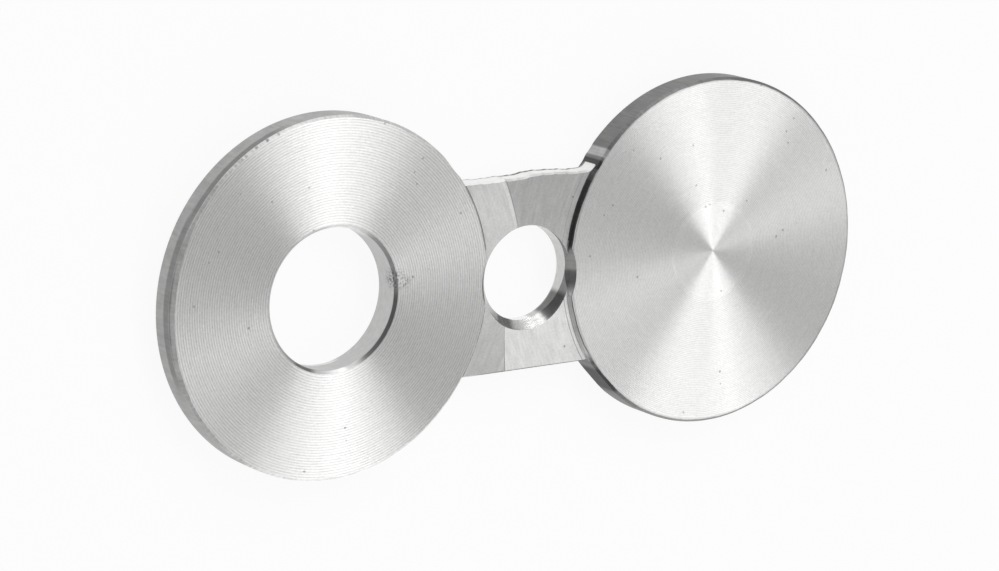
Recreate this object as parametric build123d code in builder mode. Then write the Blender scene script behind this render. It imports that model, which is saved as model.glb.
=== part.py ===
# Figure-8 line blank: a bored spacer disc and a solid blank disc joined by a web.
# One piece of turned and ground stainless steel. It lies flat: the bottom faces are
# on Z = 0, the swing hole is on the Z axis, the bored disc at -X, the blank at +X.
import os

from build123d import *

# Driving dimensions, in millimetres
DISC_R = 35.0         # outer radius of both discs
THICK = 6.4           # thickness over the discs
CENTRES = 89.0        # from one disc centre to the other
BORE_R = 13.7         # pipe bore through the spacer disc
WEB_W = 38.0          # width of the web
HOLE_R = 9.5          # swing hole in the middle of the web

FRONT_BREAK = 0.5     # broken edge of the discs, front
BACK_BREAK = 0.8      # broken edge of the discs, back
BORE_BREAK = 0.6      # broken edge at both ends of the bore

RECESS_FRONT = 0.9    # the web is turned this far below the front faces
RECESS_BACK = 1.3     # and this far above the back faces
NOSE_R = 0.4          # radius the turning tool leaves at the foot of each shoulder

SINK_FRONT_R = 11.2   # front countersink of the swing hole, at the disc faces
SINK_SHIFT = 0.9      # the front countersink sits this far off the hole, towards -Y
SINK_BACK_R = 11.4    # back countersink, true to the hole
SINK_DEPTH = 3.0      # height of the 45 degree countersinking cone

WEB_BREAK = 0.4       # ground edge along the upper side of the web
CORNER_BORED_R = 0.8  # blend from the web's upper side into the bored disc
CORNER_BLANK_R = 2.4  # and into the blank disc
SWELL_H = 0.6         # height of the hand-ground swell on the web's upper side
SWELL_X = 3.8         # where the swell is highest
SWELL_HALF = 6.0      # half its length

half_pitch = CENTRES / 2
half_web = WEB_W / 2
web_top = THICK - RECESS_FRONT
web_thick = THICK - RECESS_FRONT - RECESS_BACK
disc_centres = [(-half_pitch, 0), (half_pitch, 0)]
# The nose curve ends where the broken edge begins
front_nose = min(NOSE_R, RECESS_FRONT - FRONT_BREAK)
back_nose = min(NOSE_R, RECESS_BACK - BACK_BREAK)

# The web, as a figure-8 plate between the two recess levels. The discs' own edges
# are covered later, so the ground edge only shows along the web.
with BuildPart() as web:
    with BuildSketch(Plane.XY.offset(RECESS_BACK)):
        with BuildLine():
            Polyline((-half_pitch, half_web), (-half_pitch, -half_web),
                     (half_pitch, -half_web), (half_pitch, half_web),
                     (SWELL_X + SWELL_HALF, half_web))
            Spline((SWELL_X + SWELL_HALF, half_web), (SWELL_X, half_web + SWELL_H),
                   (SWELL_X - SWELL_HALF, half_web), tangents=[(-1, 0), (-1, 0)])
            Line((SWELL_X - SWELL_HALF, half_web), (-half_pitch, half_web))
        make_face()
        with Locations(*disc_centres):
            Circle(DISC_R)
        corners = vertices().filter_by_position(
            Axis.Y, half_web - 0.01, half_web + 0.01).sort_by(Axis.X)
        fillet(corners[0], CORNER_BORED_R)
        fillet(corners[-1], CORNER_BLANK_R)
    extrude(amount=web_thick)
    lower_side = edges().filter_by(Axis.X).sort_by(Axis.Y)[0].center().Y
    chamfer(faces().sort_by(Axis.Z)[-1].edges().filter_by(
        lambda edge: edge.center().Y > lower_side + WEB_BREAK), WEB_BREAK)

# The curve that the tool's nose leaves at the foot of each turned shoulder: a ring
# round each disc, front and back, of which the part that lies over the web is kept.
with BuildPart() as shoulder_feet:
    for disc_x, _ in disc_centres:
        with BuildSketch(Plane.XZ):
            for level, side, nose in ((web_top, 1, front_nose), (RECESS_BACK, -1, back_nose)):
                foot = (disc_x + DISC_R + nose, level)
                shoulder = (disc_x + DISC_R, level + side * nose)
                inside = (disc_x + DISC_R - nose, level + side * nose)
                with BuildLine():
                    RadiusArc(foot, shoulder, side * nose)
                    Polyline(shoulder, inside, (inside[0], level), foot)
                make_face()
        revolve(axis=Axis((disc_x, 0, 0), (0, 0, 1)))
    with BuildSketch():
        Rectangle(CENTRES, WEB_W - 2 * WEB_BREAK)
    extrude(amount=THICK, mode=Mode.INTERSECT)

with BuildPart() as spectacle_plate:
    with BuildSketch():
        with Locations(*disc_centres):
            Circle(DISC_R)
    extrude(amount=THICK)
    chamfer(edges().group_by(Axis.Z)[-1], FRONT_BREAK)
    chamfer(edges().group_by(Axis.Z)[0], BACK_BREAK)
    add(web.part)
    add(shoulder_feet.part)

    # Pipe bore, with its edges broken at both ends
    with Locations((-half_pitch, 0, THICK)):
        Hole(BORE_R)
    bore_ends = edges().filter_by(GeomType.CIRCLE).filter_by(
        lambda edge: abs(edge.radius - BORE_R) < 0.001)
    chamfer(bore_ends, BORE_BREAK)

    # Swing hole. Its countersinks are wider than the gap between the discs, so they
    # bite a notch into each shoulder. The front one was drilled off centre.
    with Locations((0, 0, THICK)):
        Hole(HOLE_R)
    with Locations((0, -SINK_SHIFT, THICK - SINK_DEPTH)):
        Cone(SINK_FRONT_R - SINK_DEPTH, SINK_FRONT_R, SINK_DEPTH,
             align=(Align.CENTER, Align.CENTER, Align.MIN), mode=Mode.SUBTRACT)
    with Locations((0, 0, 0)):
        Cone(SINK_BACK_R, SINK_BACK_R - SINK_DEPTH, SINK_DEPTH,
             align=(Align.CENTER, Align.CENTER, Align.MIN), mode=Mode.SUBTRACT)

os.makedirs("parts", exist_ok=True)
spectacle_plate.part.label = "spectacle_plate"
export_step(spectacle_plate.part, "parts/spectacle_plate.step")
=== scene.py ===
import math

import bmesh
import bpy
import numpy as np
from mathutils import Matrix, Vector


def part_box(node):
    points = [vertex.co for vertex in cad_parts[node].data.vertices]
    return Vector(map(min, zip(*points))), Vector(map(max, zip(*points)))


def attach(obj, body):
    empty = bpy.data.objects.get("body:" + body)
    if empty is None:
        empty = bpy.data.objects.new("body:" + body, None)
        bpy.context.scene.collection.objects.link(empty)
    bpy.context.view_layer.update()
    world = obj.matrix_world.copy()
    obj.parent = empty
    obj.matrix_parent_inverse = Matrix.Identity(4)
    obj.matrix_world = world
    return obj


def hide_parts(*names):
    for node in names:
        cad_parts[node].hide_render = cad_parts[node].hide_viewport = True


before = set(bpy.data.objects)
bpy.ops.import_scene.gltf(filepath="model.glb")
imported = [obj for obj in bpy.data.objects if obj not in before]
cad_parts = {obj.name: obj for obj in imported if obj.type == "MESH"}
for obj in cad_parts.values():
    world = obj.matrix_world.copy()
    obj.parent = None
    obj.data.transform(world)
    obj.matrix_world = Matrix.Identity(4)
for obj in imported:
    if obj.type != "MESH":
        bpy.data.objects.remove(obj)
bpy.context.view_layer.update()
plate_low, plate_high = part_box("spectacle_plate")

# ---------------------------------------------------------------------------
# Bored disc. The spacer end of the plate: stainless steel, faced on a lathe with
# a coarse feed, the bore and both edges broken with a file. The countersinks of
# the swing hole bite a notch into its rim.
# ---------------------------------------------------------------------------
disc_r = 0.035
thick = plate_high[2] - plate_low[2]
half_pitch = (plate_high[0] - plate_low[0]) / 2 - disc_r
bore_r, bore_break = 0.0137, 0.0006
front_break, back_break = 0.0005, 0.0008
sink_front_r, sink_shift, sink_back_r = 0.0112, 0.0009, 0.0114
web_top, web_low, half_web = thick - 0.0009, 0.0013, 0.019
nose_r = 0.0004
turn = np.linspace(0, 2 * math.pi, 1440, endpoint=False)
FACE, RIM, WALL = 0, 1, 2  # the order of the materials on each piece


def sink_depth(x, y, side):
    """How far a 45 degree countersinking cone lies below the disc face over a point:
    the cone's mouth radius less the distance from its axis, and none outside it."""
    mouth, shift = (sink_front_r, sink_shift) if side > 0 else (sink_back_r, 0.0)
    return np.maximum(0.0, mouth - np.hypot(x, y + shift))


def ripple(angle, waves):
    """Sum of sines, each wave given as (count per turn, size, phase)."""
    return sum(size * np.sin(count * angle + phase) for count, size, phase in waves)


def window(angle, middle, half):
    """1 at the middle angle, falling to 0 at half on both sides, in radians, smoothly."""
    off = np.abs((angle - middle + math.pi) % (2 * math.pi) - math.pi)
    return np.clip(1.0 - (off / half) ** 2, 0, 1) ** 2


def grid_piece(name, points, finish, grain_x, closed):
    """Mesh of a grid (rows, columns, 3) whose rows join up again. The columns do too if
    closed, and otherwise the first and last column are each filled by a fan to their
    middle. finish numbers the material of the faces after each point or column, and
    grain_x is where the axis of the lathe marks crosses the plate."""
    rows, columns = points.shape[:2]
    verts = points.reshape(-1, 3)
    i, j = np.meshgrid(np.arange(rows), np.arange(columns if closed else columns - 1),
                       indexing="ij")
    i_next, j_next = (i + 1) % rows, (j + 1) % columns
    faces = np.stack([i * columns + j, i_next * columns + j, i_next * columns + j_next,
                      i * columns + j_next], axis=-1).reshape(-1, 4)
    slots = np.broadcast_to(finish[..., :j.shape[1]], j.shape).reshape(-1)
    a, b, c = verts[faces[:, 0]], verts[faces[:, 1]], verts[faces[:, 2]]
    outward = np.einsum("ij,ij->i", a - verts.mean(axis=0), np.cross(b - a, c - a)).sum() > 0
    faces = faces if outward else faces[:, ::-1]
    faces, slots = faces.tolist(), slots.tolist()
    if not closed:
        one, two = np.arange(rows) * columns, (np.arange(rows) + 1) % rows * columns
        first, last = np.full(rows, len(verts)), np.full(rows, len(verts) + 1)
        verts = np.vstack([verts, points[:, 0].mean(axis=0), points[:, -1].mean(axis=0)])
        start = [first, two, one] if outward else [first, one, two]
        end = [last, one + columns - 1, two + columns - 1]
        end = end if outward else [end[0], end[2], end[1]]
        faces += np.stack(start, axis=-1).tolist() + np.stack(end, axis=-1).tolist()
        slots += [FACE] * (2 * rows)
    mesh = bpy.data.meshes.new(name)
    mesh.from_pydata(verts.tolist(), [], faces)
    mesh.polygons.foreach_set("use_smooth", np.ones(len(faces), bool))
    mesh.polygons.foreach_set("material_index", np.array(slots, np.int32))
    merged = bmesh.new()
    merged.from_mesh(mesh)
    bmesh.ops.remove_doubles(merged, verts=merged.verts, dist=2e-7)
    merged.to_mesh(mesh)
    merged.free()
    mesh.set_sharp_from_angle(angle=math.radians(26))
    mesh.use_auto_texspace = False
    mesh.texspace_location = (grain_x, 0, 0)
    mesh.texspace_size = (0.1, 0.1, 0.1)
    piece = bpy.data.objects.new(name, mesh)
    bpy.context.collection.objects.link(piece)
    return piece


def disc_edge(centre_x, side, edge_break, radius):
    """Rings from the edge of a face to the rim, front (side 1) or back (-1). The face
    ends at its broken edge or, where that comes first, where the cone cuts it; from
    there each point lies on the lower of the 45 degree break and the cone."""
    deepest_bite = 0.004
    reach = np.linspace(disc_r - deepest_bite, disc_r, 800)[:, None]
    depth = sink_depth(centre_x + reach * np.cos(turn), reach * np.sin(turn), side)
    first_cut = np.where((depth > 0).any(axis=0), reach[(depth > 0).argmax(axis=0), 0], disc_r)
    face_edge = np.minimum(radius - edge_break, first_cut)
    r = face_edge + (radius - face_edge) * np.linspace(0, 1, 8)[:, None]
    cone = sink_depth(centre_x + r * np.cos(turn), r * np.sin(turn), side)
    drop = np.maximum(cone, np.maximum(0.0, r - radius + edge_break))
    return r, (thick - drop if side > 0 else drop)


def shoulder_foot(over_web, radius, side):
    """Rings from the rim down the curve that the tool's nose left at the shoulder's
    foot, a quarter circle from the rim out to the web's level, and back under it."""
    level = web_top if side > 0 else web_low
    tuck = 0.0004
    swing = np.linspace(0, math.pi / 2, 6)[:, None]
    r = radius + over_web * nose_r * (1 - np.cos(swing))
    z = level + side * nose_r * (1 - np.sin(swing)) + 0 * turn
    return np.vstack([r, radius[None]]), np.vstack([z, level - side * tuck + 0 * turn[None]])


def turned_disc(name, centre_x, hole, radius, edge_front, edge_back):
    """Closed surface about the disc's axis: front face outwards, broken edge, shoulder
    or rim, broken edge, back face inwards and, where there is a bore, its wall."""
    front_r, front_z = disc_edge(centre_x, 1, edge_front, radius)
    back_r, back_z = disc_edge(centre_x, -1, edge_back, radius)
    toward_web = np.cos(turn) * -np.sign(centre_x) > 0
    clear_of_sink = np.hypot(centre_x + disc_r * np.cos(turn), disc_r * np.sin(turn)) > sink_back_r
    on_web = np.abs(disc_r * np.sin(turn)) < half_web - nose_r
    over_web = (toward_web & clear_of_sink & on_web) * 1.0
    upper_r, upper_z = shoulder_foot(over_web, radius, 1)
    lower_r, lower_z = shoulder_foot(over_web, radius, -1)
    upper_z, lower_z = np.minimum(upper_z, front_z[-1]), np.maximum(lower_z, back_z[-1])
    blind_centre_r = 0.0012  # a blank face closes by a small flat fan
    inner = hole + bore_break if hole else blind_centre_r
    face = np.linspace(0, 1, 7)[:-1, None]
    rings = [(inner + (front_r[0] - inner) * face, thick + 0 * face * turn, FACE),
             (front_r, front_z, RIM),
             (upper_r, upper_z, RIM),
             (lower_r[::-1], lower_z[::-1], RIM),
             (back_r[::-1], back_z[::-1], RIM),
             (inner + (back_r[0] - inner) * face[::-1], 0 * face * turn, FACE)]
    if hole:
        wall = np.linspace(0, 1, 8)[:, None] + 0 * turn
        rings.append((hole + 0 * wall, bore_break + (thick - 2 * bore_break) * wall, WALL))
    r = np.vstack([ring[0] for ring in rings])
    z = np.vstack([ring[1] for ring in rings])
    finish = np.concatenate([np.full(len(ring[0]), ring[2]) for ring in rings])
    finish[np.flatnonzero(finish == RIM)[-1]] = FACE
    if hole:
        finish[np.flatnonzero(finish == FACE)[-1]] = WALL
    points = np.stack([centre_x + r * np.cos(turn), r * np.sin(turn), z], axis=-1)
    return grid_piece(name, points.transpose(1, 0, 2), finish, centre_x, bool(hole))


def operator(operation, swapped=False):
    """A method of Value that adds one Math node for this value and another one."""
    def method(self, other=0.0):
        first, second = (other, self) if swapped else (self, other)
        return self.maths(operation, first, second)
    return method


class Value:
    """A socket that takes part in sums: each operator adds one Math node."""

    def __init__(self, tree, socket):
        self.tree, self.socket = tree, socket

    def maths(self, operation, first, second=0.0):
        node = self.tree.nodes.new("ShaderNodeMath")
        node.operation = operation
        for slot, value in zip(node.inputs, (first, second)):
            if isinstance(value, Value):
                self.tree.links.new(value.socket, slot)
            else:
                slot.default_value = value
        return Value(self.tree, node.outputs[0])

    __add__, __radd__ = operator("ADD"), operator("ADD", swapped=True)
    __sub__, __rsub__ = operator("SUBTRACT"), operator("SUBTRACT", swapped=True)
    __mul__, __rmul__ = operator("MULTIPLY"), operator("MULTIPLY", swapped=True)
    __truediv__, __rtruediv__ = operator("DIVIDE"), operator("DIVIDE", swapped=True)
    __pow__ = operator("POWER")
    sin, abs = operator("SINE"), operator("ABSOLUTE")
    min, max = operator("MINIMUM"), operator("MAXIMUM")

    def ramp(self, low, high):
        """0 below low, 1 above high, and a smooth step between."""
        t = ((self - low) / (high - low)).max(0.0).min(1.0)
        return t * t * (3.0 - 2.0 * t)


class Finish:
    """A material's node tree, and one way to add any node to it."""

    def __init__(self, name):
        self.material = bpy.data.materials.new(name)
        self.material.use_nodes = True
        self.tree = self.material.node_tree
        self.shader = self.tree.nodes["Principled BSDF"]
        self.place = self.node("ShaderNodeTexCoord").outputs["Object"]

    def node(self, kind, settings=None, **sockets):
        node = self.tree.nodes.new(kind)
        for key, value in (settings or {}).items():
            setattr(node, key, value)
        for key, value in sockets.items():
            self.put(node.inputs[key.replace("_", " ")], value)
        return node

    def put(self, socket, value):
        if isinstance(value, Value):
            value = value.socket
        if isinstance(value, bpy.types.NodeSocket):
            self.tree.links.new(value, socket)
        else:
            socket.default_value = value

    def value(self, socket):
        return Value(self.tree, socket)

    def about(self, centre_x):
        """Object coordinates moved to a disc's axis, and the radius, angle and height."""
        moved = self.node("ShaderNodeMapping", Vector=self.place,
                          Location=(-centre_x, 0, 0)).outputs["Vector"]
        split = self.node("ShaderNodeSeparateXYZ", Vector=moved)
        x, y, z = (self.value(split.outputs[k]) for k in "XYZ")
        return moved, (x * x + y * y) ** 0.5, x.maths("ARCTAN2", y, x), z

    def at(self, x, y, z=0.0):
        """A place made up of numbers or values."""
        return self.node("ShaderNodeCombineXYZ", X=x, Y=y, Z=z).outputs[0]

    def noise(self, place, scale, detail=2.0, roughness=0.5):
        """Noise about 0.5, its scale in waves a metre."""
        node = self.node("ShaderNodeTexNoise", Vector=place, Scale=scale, Detail=detail,
                         Roughness=roughness)
        return self.value(node.outputs["Fac"])

    def pits(self, place, scale, size, few):
        """Small round pits: the middles of Voronoi cells, where a slow noise allows."""
        cell = self.node("ShaderNodeTexVoronoi", Vector=place, Scale=scale)
        dot = 1.0 - self.value(cell.outputs["Distance"]).ramp(size * 0.4, size)
        return dot * self.noise(place, scale * 0.3, 1.0).ramp(few, few + 0.05)

    def near(self, value, middle, half, soft):
        """1 within half of a middle value, 0 more than soft beyond it."""
        return 1.0 - (value - middle).abs().ramp(half, half + soft)

    def patched(self, tone, angle, height, patches):
        """The tone, changed by a factor inside each patch and softly at its edges: painted
        light and shade. A patch is (middle angle, half its width, lowest z, highest z,
        factor), with the angles in degrees and the heights in millimetres."""
        for middle, half, low, high, factor in patches:
            off = (angle - math.radians(middle)).abs()
            inside = self.near(off.min(2 * math.pi - off), 0.0, math.radians(half * 0.75),
                               math.radians(half * 0.5))
            inside = inside * self.near(height, (low + high) / 2000, (high - low) / 2600,
                                        (high - low) / 4000)
            tone = tone * (1.0 + (factor - 1.0) * inside)
        return tone

    def stain(self, spots):
        """Dark specks within a reach of each spot (x, y, reach), fewer further out."""
        depth = 0.001
        specks = 1.0 - self.noise(self.place, 2600.0, 2.0, 0.6).ramp(0.42, 0.50)
        dark = 0.0
        for x, y, reach in spots:
            away = self.node("ShaderNodeVectorMath", {"operation": "DISTANCE"},
                             Vector=self.place)
            away.inputs[1].default_value = (x, y, thick - depth)
            far = self.value(away.outputs["Value"]).ramp(reach * 0.3, reach)
            dark = (specks * (1.0 - far)).max(dark)
        return dark

    def done(self, tone, roughness, height, anisotropy):
        """Bare steel of a tone, its grooves a quarter turn from the tangent: round the
        axis. Returns the material."""
        tone = tone.min(0.95)
        colour = self.node("ShaderNodeCombineColor", Red=tone, Green=tone, Blue=tone * 0.99)
        self.put(self.shader.inputs["Base Color"], colour.outputs["Color"])
        self.put(self.shader.inputs["Roughness"], roughness)
        bump = self.node("ShaderNodeBump", Strength=1.0, Distance=1.0, Height=height)
        self.put(self.shader.inputs["Normal"], bump.outputs["Normal"])
        self.shader.inputs["Metallic"].default_value = 1.0
        self.shader.inputs["Anisotropic"].default_value = anisotropy
        self.shader.inputs["Anisotropic Rotation"].default_value = 0.25
        return self.material


def turned_face(name, centre_x, feed, groove, mark, bright=0.67, rough=0.40, smeared=0.06,
                plain=0.0, spots=(), lines=(), upper=1.0):
    """Faced steel: one groove a feed, of uneven depth from ring to ring and along each,
    with finer tearing in the grooves and a few pits.

    groove is its depth and mark how far it changes the tone. smeared is the strength of
    long patches of torn skin, plain the radius inside which the feed was too slow to
    see, and upper a factor on the half at +Y, painted shade on that half. A line is a
    turned ring (radius, width, factor in tone, half), the half being upper (1), lower
    (-1) or both (0)."""
    f = Finish(name)
    centred, r, angle, _ = f.about(centre_x)
    y = f.value(f.node("ShaderNodeSeparateXYZ", Vector=centred).outputs["Y"])
    uneven = f.noise(f.at(r, angle * 0.003), 2200.0, 3.0)
    tear = f.noise(f.at(r, angle * 0.0006, 0.3), 5200.0, 2.0)
    grain = f.noise(centred, 2400.0, 2.0, 0.6)
    broken = f.noise(f.at(r * 1.5, angle * 0.02, 0.6), 1100.0, 2.0)
    smear = f.noise(f.at(r, angle * 0.012, 0.7), 800.0, 3.0, 0.6)
    pit = f.pits(centred, 420.0, 0.13, 0.575)
    rings = (r * (2 * math.pi / feed)).sin() * 0.5 + 0.5
    cut = r.ramp(plain - 0.0006, plain) if plain else 1.0
    height = (rings * (0.5 + uneven) * cut + tear * 0.6) * groove - pit * 0.00004
    tone = bright + 0.10 * (uneven - 0.5) + 0.08 * (tear - 0.5) + 0.22 * (grain - 0.5)
    tone = tone + (rings - 0.5) * mark * cut * (4.0 * broken - 1.0) + smeared * (smear - 0.5)
    if plain:
        rough = rough + 0.05 * (1.0 - cut)
        tone = tone + 0.13 * (1.0 - cut)
        tone = tone + (uneven - 0.3).max(0.0) * 0.25 * f.near(r, plain, 0.0001, 0.0002)
    for radius, width, factor, half in lines:
        ring = f.near(r, radius, width / 2, 0.00012)
        if half:
            ring = ring * (y * half).ramp(0.0, 0.001)
        tone = tone * (1.0 + (factor - 1.0) * ring)
    # Painted shade: upper darkens the half at +Y.
    tone = tone * (1.0 + (upper - 1.0) * y.ramp(-0.001, 0.003)) * (1.0 - 0.35 * pit)
    if spots:
        tone = tone * (1.0 - 0.6 * f.stain(spots))
    return f.done(tone, rough + 0.06 * uneven, height, 0.98)


def filed_rim(name, centre_x, tone, streaks, patches=()):
    """A turned rim: marks across it from the file, blotches, a rougher skin, and patches of
    painted light and shade.
    """
    f = Finish(name)
    centred, _, angle, z = f.about(centre_x)
    across = f.noise(f.at(angle * 0.035, z * 0.12), 1500.0, 3.0)
    blotch = f.noise(centred, 420.0, 4.0, 0.65)
    shade = tone * (1.0 + streaks * (across - 0.5)) * (1.0 + 0.7 * (blotch - 0.5))
    shade = f.patched(shade, angle, z, patches)
    return f.done(shade, 0.38 + 0.2 * blotch, across * 0.00003 + blotch * 0.00004, 0.5)


def drilled_wall(name, centre_x, tone, rough, patches=(), spots=()):
    """A bored or countersunk wall: rings round its axis, chatter along it, and patches of
    painted light and shade.
    """
    f = Finish(name)
    centred, _, angle, z = f.about(centre_x)
    feed = f.noise(f.at(angle * 0.002, z), 3000.0, 3.0)
    chatter = f.noise(centred, 900.0, 3.0, 0.6)
    shade = tone * (1.0 + 0.3 * (feed - 0.5) + 0.3 * (chatter - 0.5))
    shade = f.patched(shade, angle, z, patches)
    if spots:
        shade = shade * (1.0 - 0.6 * f.stain(spots))
    height = feed * 0.00001 + chatter * 0.00001
    return f.done(shade, rough + 0.1 * chatter, height, 0.4)


def dress(piece, finishes):
    """Give a piece its materials and put it in the plate's place."""
    for finish in finishes:
        piece.data.materials.append(finish)
    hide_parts("spectacle_plate")
    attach(piece, "root")


all_round = (0, 400)  # the middle angle and half width of a patch right round
filed = front_break + ripple(turn, [(7, 0.00004, 0.3), (23, 0.00003, 1.9), (61, 0.00002, 4.0),
                                    (163, 0.000015, 1.0), (247, 0.000015, 2.0)])
filed = filed + 0.0003 * window(turn, math.pi, 0.6) - 0.0002 * window(turn, 2.0, 0.5)
chatter_marks = np.maximum(0, np.sin(85 * turn)) ** 2 * window(turn, 1.98, 0.25)
filed = filed + 0.00014 * chatter_marks
worn = disc_r - 0.0002 * window(turn, 0.70, 0.09)
bored_disc = turned_disc("bored_disc", -half_pitch, bore_r, worn, filed, back_break)

# Tone patches on the bored rim: painted highlights and painted shade.
bored_rim_painted_light = (
    (*all_round, 5.80, 6.6, 1.6),   # painted highlight along the broken front edge
    (175, 28, 3.6, 5.5, 0.62),      # painted shade in a dark band, lower down where the break is wide
    (128, 20, 4.2, 5.8, 0.60),      # and close to the break further up
    (*all_round, 0.0, 0.35, 0.55),  # painted shade on the back edge
    (-18, 20, 5.2, 5.9, 0.4),       # painted shade in the corner at the shoulder's foot, lower half
    (22, 14, 5.2, 5.9, 0.6))        # and upper half
# Tone patches in the bore: painted highlights and painted shade.
bore_painted_light = (
    (-32, 32, 5.85, 6.5, 0.40),     # painted shade, highlight and shade on the front break
    (-92, 14, 5.85, 6.5, 1.7),
    (-118, 8, 5.85, 6.5, 0.6),
    (-98, 24, 0.0, 1.6, 1.4),       # painted highlight on the back break
    (75, 20, 0.0, 6.5, 1.4))        # painted highlight on the wall
bore_stain = ((-0.0306, 0.0023, 0.0030), (-0.0286, 0.0016, 0.0020))
# The bored rim's tone, 0.44 against the face's 0.67, is a duller filed skin and partly painted
# shade that keeps the rim dark.
dress(bored_disc, (
    turned_face("bored_face_steel", -half_pitch, 0.00052, 0.00001, 0.17, spots=bore_stain),
    filed_rim("bored_rim_steel", -half_pitch, 0.44, 0.4, bored_rim_painted_light),
    drilled_wall("bore_steel", -half_pitch, 0.56, 0.35, bore_painted_light, bore_stain)))

# ---------------------------------------------------------------------------
# Blank disc. The solid end, of the same steel, faced with a finer feed that slowed
# to nothing near the middle. Its rim was ground by hand on both sides of the web.
# ---------------------------------------------------------------------------
filed = front_break - 0.0002 * window(turn, math.pi, 1.0)
filed = filed + ripple(turn, [(5, 0.00004, 1.3), (19, 0.00003, 0.2), (53, 0.00002, 2.0)])
ground = disc_r - 0.00012 * window(turn, math.radians(140.5), 0.05)
ground = ground - 0.00016 * window(turn, math.radians(145.0), 0.05)
ground = ground - 0.00020 * window(turn, math.radians(223.0), 0.15)
blank_disc = turned_disc("blank_disc", half_pitch, 0, ground, filed, back_break)

# Tone patches on the blank rim: mostly painted light and painted shade.
blank_rim_painted_light = (
    (140.4, 1.6, -4.0, 9.0, 2.1),     # painted light and painted shade on the two facets above the web
    (144.8, 1.6, -4.0, 9.0, 0.4),
    (149, 1.5, 0.0, 6.5, 1.7),        # rough corner
    (160, 14, 5.2, 6.35, 0.36),       # painted shade on the shoulder over the web's upper half
    (177.0, 3.6, 4.4, 7.0, 2.6),      # painted highlight on the upper part of the countersink's notch
    (-160.5, 12.0, 5.3, 6.7, 4.2),    # painted highlight on the shoulder over the lower half,
    (-160.5, 11.0, 6.22, 6.6, 0.3),   # between two lines of painted shade
    (-160.5, 11.0, 5.2, 5.55, 0.4),
    (-137, 6, 0.0, 6.5, 0.35),        # painted shade on the facet below the web
    (*all_round, 0.0, 0.4, 0.6))      # painted shade on the back edge
face_edge_line = (0.0344, 0.0002, 0.75, 0)
# The blank rim's tone, 0.24 against the face's 0.72, is a duller ground skin and partly painted
# shade that keeps the rim dark.
dress(blank_disc, (
    turned_face("blank_face_steel", half_pitch, 0.00036, 0.000009, 0.15, bright=0.72,
                plain=0.0099, lines=(face_edge_line,)),
    filed_rim("blank_rim_steel", half_pitch, 0.24, 0.6, blank_rim_painted_light)))

# ---------------------------------------------------------------------------
# Web. The flat bar between the discs. It was turned down on both sides while each
# disc was on the lathe, so its faces are parts of two rings that meet in a seam.
# Its upper side is ground by hand, and the swing hole in it is countersunk.
# ---------------------------------------------------------------------------
hole_r = 0.0095
corner_bored, corner_blank = 0.0008, 0.0024
swell_x, swell_h, swell_half = 0.0038, 0.0005, 0.0060
ground_break, sawn_break = 0.0004, 0.0002
web_end = 0.0175
# The angle at which each seam meets the outline and the swing hole
seam_top = (math.radians(105.6), math.radians(103.6))
seam_low = (math.radians(256.1), math.radians(239.1))


def web_outline(count):
    """The web's outline, from +X anticlockwise: the end inside the blank disc, the
    corner arc, the swelling upper side, the small corner arc, the end inside the
    bored disc and the straight lower side, at equal steps along its length."""
    def corner(radius, sign):
        """Arc that blends the upper side into a disc's rim, from the rim outwards."""
        height = half_web + radius
        middle = half_pitch - math.sqrt((disc_r + radius) ** 2 - height ** 2)
        end = math.atan2(-height, half_pitch - middle)
        swing = np.linspace(end, -math.pi / 2, 24)
        return sign * (middle + radius * np.cos(swing)), height + radius * np.sin(swing)
    right_x, right_y = corner(corner_blank, 1)
    left_x, left_y = corner(corner_bored, -1)
    top_x = np.linspace(right_x[-1], left_x[-1], 400)[1:-1]
    off = (top_x - swell_x) / swell_half
    top_y = half_web + swell_h * np.exp(-1.6 * off ** 2)
    top_y += ripple(top_x * 1000, [(0.9, 0.00006, 0.4), (2.1, 0.00004, 1.0), (4.3, 0.00002, 0)])
    x = np.concatenate([[web_end, web_end], right_x, top_x, left_x[::-1], [-web_end, -web_end]])
    y = np.concatenate([[-half_web, right_y[0]], right_y, top_y, left_y[::-1],
                        [left_y[0], -half_web]])
    x, y = np.append(x, x[0]), np.append(y, y[0])
    along = np.concatenate([[0], np.cumsum(np.hypot(np.diff(x), np.diff(y)))])
    even = np.linspace(0, along[-1], count, endpoint=False)
    return np.interp(even, along, x), np.interp(even, along, y)


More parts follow.
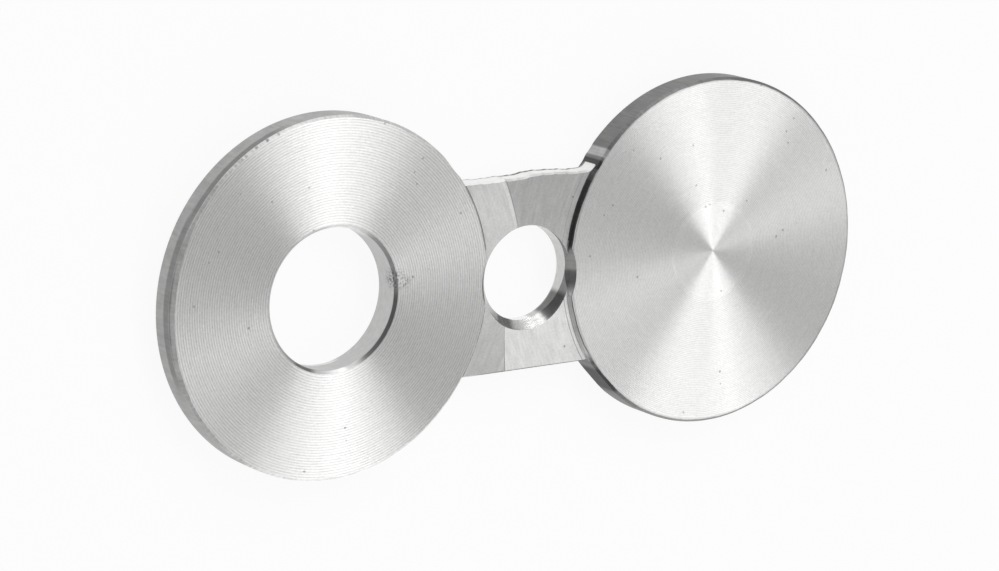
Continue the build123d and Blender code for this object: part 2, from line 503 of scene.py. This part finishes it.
def web_part(name, centre_x, keep):
    """Closed loops, one for each point of the outline that is kept: from the hole over
    the face to the side, down it, and back under to the hole. Each loop leaves the
    hole at an angle that makes the two seams loops of their own, bowed as they are."""
    out_x, out_y = web_outline(1400)
    phi = np.arctan2(out_y, out_x) % (2 * math.pi)
    order = np.argsort(phi)
    kept = order[keep(phi[order])]
    if centre_x > 0:
        split = np.flatnonzero(phi[kept] > math.pi)[0]
        kept = np.concatenate([kept[split:], kept[:split]])
    x, y, phi = out_x[kept], out_y[kept], phi[kept]
    # The seams run from seam_top and seam_low; the loops between them fan out evenly.
    at_hole = np.interp(phi, [0, 1.05, seam_top[0], 2.6, 3.6, seam_low[0], 5.4, 2 * math.pi],
                        [0, 1.05, seam_top[1], 2.58, 3.56, seam_low[1], 5.25, 2 * math.pi])
    # How far the middle of a loop near each seam stands out along X.
    bow = 0.0002 * window(phi, seam_top[0], 0.3) - 0.00017 * window(phi, seam_low[0], 0.4)
    upper_side = np.clip((y - half_web + 0.001) / 0.0005, 0, 1)
    edge = sawn_break + (ground_break - sawn_break) * upper_side
    length = np.hypot(x, y)
    hole_x, hole_y = hole_r * np.cos(at_hole), hole_r * np.sin(at_hole)
    cone_rings, face_rings, side_rings, wall_rings = 10, 30, 6, 6

    def face(side):
        """Rings from the hole to the edge on the front (side 1) or back (-1) face. One
        of them lies where the countersink's cone comes out in the web's face."""
        start = np.array([hole_x, hole_y])
        reach = np.array([x, y]) * (1 - edge / length) - start
        depth = thick - web_top if side > 0 else web_low
        mouth, shift = (sink_front_r, sink_shift) if side > 0 else (sink_back_r, 0.0)
        from_axis = start + np.array([[0.0], [shift]])
        square = (reach ** 2).sum(axis=0)
        half = (from_axis * reach).sum(axis=0) / square
        rest = ((from_axis ** 2).sum(axis=0) - (mouth - depth) ** 2) / square
        cut = np.clip(-half + np.sqrt(np.maximum(half ** 2 - rest, 0)), 0.002, 0.9)
        share = np.vstack([cut * np.linspace(0, 1, cone_rings)[:, None],
                           cut + (1 - cut) * np.linspace(0, 1, face_rings + 1)[1:, None]])
        ring_x, ring_y = start[0] + reach[0] * share, start[1] + reach[1] * share
        ring_x = ring_x + 4 * share * (1 - share) * bow
        drop = np.maximum(depth, sink_depth(ring_x, ring_y, side))
        return ring_x, ring_y, (thick - drop if side > 0 else drop)
    top, low = face(1), face(-1)
    down = np.linspace(0, 1, side_rings)[:, None]
    side_z = top[2][-1] - edge + (low[2][-1] + edge - top[2][-1] + edge) * down
    wall = np.linspace(0, 1, wall_rings + 2)[1:-1, None]
    wall_z = low[2][0] + (top[2][0] - low[2][0]) * wall
    loops = np.stack([np.vstack([top[0], x + 0 * down, low[0][::-1], hole_x + 0 * wall]),
                      np.vstack([top[1], y + 0 * down, low[1][::-1], hole_y + 0 * wall]),
                      np.vstack([top[2], side_z, low[2][::-1], wall_z])], axis=-1)
    finish = np.full(loops.shape[:2], FACE)
    top_edge = cone_rings + face_rings - 1
    low_edge = top_edge + side_rings + 1
    finish[top_edge:low_edge] = RIM
    finish[:cone_rings - 1] = WALL
    finish[low_edge + face_rings:] = WALL
    return grid_piece(name, loops, finish, centre_x, False)


web_bored = web_part("web_bored_side", -half_pitch,
                     lambda phi: (phi >= seam_top[0]) & (phi <= seam_low[0]))
web_blank = web_part("web_blank_side", half_pitch,
                     lambda phi: (phi <= seam_top[0]) | (phi >= seam_low[0]))

# Tone patches on the web's side: painted shade.
web_side_painted_shade = (
    (*all_round, 0.4, 2.0, 0.25),     # painted shade along the back edge,
    (80, 24, 0.6, 2.5, 0.25),         # wider at the swell
    (-85, 38, -4.0, 10.0, 0.12))      # painted shade on the lower side
# Tone patches in the swing hole: painted reflections and painted light.
sink_painted_light = (
    (-46, 17, 2.0, 5.6, 0.30),        # painted reflections: dark, bright and dark parts of the countersink
    (-90, 13, 2.0, 5.6, 1.6),
    (-117, 10, 2.0, 5.6, 0.5),
    (0, 70, -0.6, 1.9, 1.5))          # back countersink painted lighter against its shade
seam_line = (0.0428, 0.0006, 1.10, 0)
foot_lines = (
    (0.0361, 0.00005, 0.45, -1),
    (0.0376, 0.0001, 1.12, 1),
    (0.0366, 0.00006, 0.80, 1))
# The side's tone of 0.95, far above the faces', is a brighter ground skin and partly painted light
# that makes it mirror the floor white.
web_side = filed_rim("web_side_steel", 0.0, 0.95, 0.3, web_side_painted_shade)
sink_wall = drilled_wall("swing_hole_steel", 0.0, 0.6, 0.2, sink_painted_light)
for piece, centre_x, feed, lines in ((web_bored, -half_pitch, 0.0008, (seam_line,)),
                                     (web_blank, half_pitch, 0.0009, foot_lines)):
    # upper=0.82 is painted shade on the faces' half at +Y.
    web_face = turned_face(piece.name + "_steel", centre_x, feed, 0.000006, 0.01, rough=0.36,
                           smeared=0.28, lines=lines, upper=0.82)
    dress(piece, (web_face, web_side, sink_wall))

# ---------------------------------------------------------------------------
# Floor, light and camera. A white table in a grey room, two crossed strip lights
# where the discs' faces mirror the camera, and a broad soft box on each side.
# ---------------------------------------------------------------------------
just_below = -0.00005
self_lit = 0.92  # of the white that the floor shows; the rest takes light and shadow
bpy.ops.mesh.primitive_plane_add(size=6, location=(0, 0, just_below))
floor = bpy.context.object
floor.name = "floor"
f = Finish("white_table")
f.shader.inputs["Base Color"].default_value = (0.93, 0.93, 0.93, 1)
f.shader.inputs["Roughness"].default_value = 0.9
f.shader.inputs["Specular IOR Level"].default_value = 0.0
path = f.node("ShaderNodeLightPath")
seen = f.value(path.outputs["Is Camera Ray"]).max(f.value(path.outputs["Is Glossy Ray"]))
seen = seen.max(f.value(path.outputs["Is Transmission Ray"]))
white = f.node("ShaderNodeEmission", Color=(1, 1, 1, 1), Strength=1.0)
blend = f.node("ShaderNodeMixShader")
f.put(blend.inputs[0], seen * self_lit)
f.put(blend.inputs[1], f.shader.outputs[0])
f.put(blend.inputs[2], white.outputs[0])
f.put(f.tree.nodes["Material Output"].inputs[0], blend.outputs[0])
floor.data.materials.append(f.material)

world = bpy.data.worlds.new("room")
world.use_nodes = True
world.node_tree.nodes["Background"].inputs["Color"].default_value = (0.34, 0.34, 0.34, 1)
bpy.context.scene.world = world


def soft_box(name, toward, distance, along, size, level):
    """A soft box in a given direction, facing the plate, its length along a line and
    its surface as bright as level."""
    light = bpy.data.lights.new(name, "AREA")
    light.shape = "RECTANGLE"
    light.size, light.size_y = size
    light.energy = level * math.pi * size[0] * size[1]
    lamp = bpy.data.objects.new(name, light)
    out = Vector(toward).normalized()
    side = Vector(along).cross(out).normalized()
    axes = Matrix((side, out.cross(side), out)).transposed().to_4x4()
    lamp.matrix_world = Matrix.Translation(out * distance) @ axes
    bpy.context.collection.objects.link(lamp)


mirrored = (0.55, -0.22, 0.80)
soft_box("strip", mirrored, 4.5, (0.08, 0.955, 0.22), (1.1, 7.2), 1.45)
soft_box("cross_strip", mirrored, 4.8, (0.86, 0.24, -0.45), (0.8, 7.2), 1.25)
soft_box("far_box", (0.24, 0.72, 0.65), 4.5, (1, 0, 0), (3.0, 3.0), 2.3)
soft_box("near_box", (0.42, -0.82, 0.36), 4.5, (1, 0, 0), (2.6, 3.0), 2.3)

eye = bpy.data.cameras.new("camera")
eye.lens, eye.sensor_width = 143.443, 36.0
eye.clip_start = 0.01
camera = bpy.data.objects.new("camera", eye)
right = (0.82732, 0.01867, 0.56141)
up = (0.10776, 0.97561, -0.19124)
back = (-0.5513, 0.2187, 0.8051)
place = (-0.42969, 0.16628, 0.62374)
turned = Matrix((right, up, back)).transposed()
camera.matrix_world = Matrix.Translation(place) @ turned.to_4x4()
bpy.context.collection.objects.link(camera)
bpy.context.scene.camera = camera
bpy.context.scene.view_settings.view_transform = "Standard"
